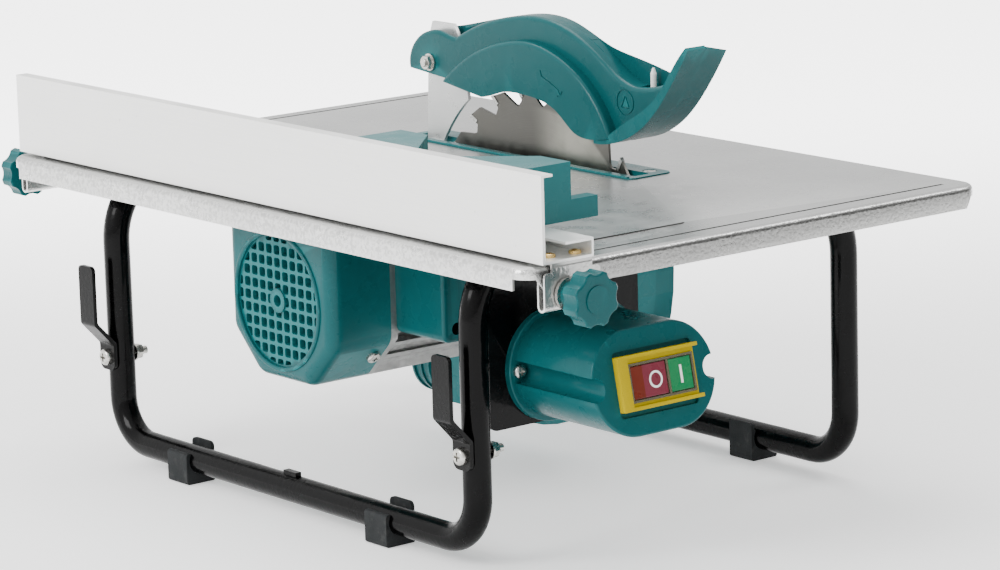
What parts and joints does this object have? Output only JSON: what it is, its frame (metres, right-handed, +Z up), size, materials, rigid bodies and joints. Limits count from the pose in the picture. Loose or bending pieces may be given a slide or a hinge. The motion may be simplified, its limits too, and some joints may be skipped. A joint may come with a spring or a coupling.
{
  "type": "bench table saw",
  "caption": "Small benchtop circular saw table with tube legs, hinged blade guard, riving knife, sliding rip fence and cross-cut block.",
  "frame": {"origin": "on the floor, centred under the table", "axes": "+X to the operator's right, +Y along the blade away from the operator, +Z up"},
  "size_m": [0.335, 0.5548, 0.2696],
  "materials": {
    "galvanised": "zinc-coated sheet, fine bright speckle",
    "teal_plastic": "moulded, satin",
    "black_paint": "gloss black powder coat",
    "black_plastic": "moulded, satin",
    "yellow_plastic": "moulded, satin",
    "red_plastic": "moulded, gloss",
    "green_plastic": "moulded, gloss",
    "clear_plastic": "clear rim",
    "zinc": "bright zinc plate",
    "brass": "yellow zinc plate",
    "aluminium": "brushed extrusion",
    "cast_aluminium": "as cast",
    "steel": "ground steel",
    "copper_winding": "enamelled copper and steel core",
    "rubber": "soft black rubber",
    "white_plastic": "moulded, satin"
  },
  "bodies": {
    "machine": {"table_top": "galvanised", "table_insert": "teal_plastic", "insert_screws": "zinc", "leg_left": "black_paint", "leg_right": "black_paint", "leg_screws": "zinc", "foot_clips": "rubber", "storage_hooks": "black_paint", "hook_bolts": "zinc", "hook_nuts": "zinc", "front_plate": "black_paint", "plate_screws": "zinc", "switch_box": "teal_plastic", "switch_box_screws": "zinc", "switch_frame": "yellow_plastic", "switch_module": "black_plastic", "switch_cover": "clear_plastic", "motor_hanger": "steel", "hanger_screws": "zinc", "motor_housing": "cast_aluminium", "motor_end_shield": "cast_aluminium", "motor_stator": "copper_winding", "motor_bearings": "steel", "fan_cowl": "teal_plastic", "cowl_screws": "zinc", "capacitor_box": "teal_plastic", "capacitor_box_screws": "zinc", "lower_guard_left": "teal_plastic", "lower_guard_right": "teal_plastic", "lower_guard_screws": "zinc", "dust_spigot": "teal_plastic", "riving_knife": "steel", "knife_bracket": "steel", "knife_screws": "zinc", "guard_pivot_bolt": "zinc"},
    "arbor": {"rotor_shaft": "steel", "rotor_core": "steel", "cooling_fan": "black_plastic", "blade_flanges": "steel", "saw_blade": "steel", "blade_tips": "steel", "arbor_nut": "zinc"},
    "blade_guard": {"guard_left_shell": "teal_plastic", "guard_right_shell": "teal_plastic", "guard_screws": "zinc", "guard_pin": "white_plastic"},
    "fence": {"fence_rail": "aluminium", "clamp_bracket_front": "galvanised", "clamp_bracket_rear": "galvanised", "bracket_screws": "brass"},
    "front_knob": {"clamp_knob_front": "teal_plastic", "clamp_screw_front": "zinc"},
    "rear_knob": {"clamp_knob_rear": "teal_plastic", "clamp_screw_rear": "zinc"},
    "slider": {"crosscut_slider": "teal_plastic"},
    "stop": {"stop_button": "red_plastic"},
    "start": {"start_button": "green_plastic"}
  },
  "joints": [
    {"name": "blade_spin", "type": "hinge", "parent": "machine", "child": "arbor", "pos_m": [0.0525, 0.0052, 0.126], "axis": [1, 0, 0], "continuous": true},
    {"name": "guard_swing", "type": "hinge", "parent": "machine", "child": "blade_guard", "pos_m": [0.0525, 0.1, 0.232], "axis": [-1, 0, 0], "range_deg": [-5, 60]},
    {"name": "fence_slide", "type": "slide", "parent": "machine", "child": "fence", "axis": [1, 0, 0], "range_m": [0, 0.112]},
    {"name": "front_knob_turn", "type": "hinge", "parent": "fence", "child": "front_knob", "pos_m": [-0.142, -0.265, 0.1682], "axis": [0, -1, 0], "continuous": true},
    {"name": "rear_knob_turn", "type": "hinge", "parent": "fence", "child": "rear_knob", "pos_m": [-0.142, 0.265, 0.1682], "axis": [0, 1, 0], "continuous": true},
    {"name": "slider_travel", "type": "slide", "parent": "fence", "child": "slider", "axis": [0, 1, 0], "range_m": [-0.028, 0.3]},
    {"name": "stop_press", "type": "slide", "parent": "machine", "child": "stop", "axis": [0, 0.9781, -0.2079], "range_m": [0, 0.0025], "stiffness_N_per_m": 500},
    {"name": "start_press", "type": "slide", "parent": "machine", "child": "start", "axis": [0, 0.9781, -0.2079], "range_m": [0, 0.0025], "stiffness_N_per_m": 500}
  ]
}
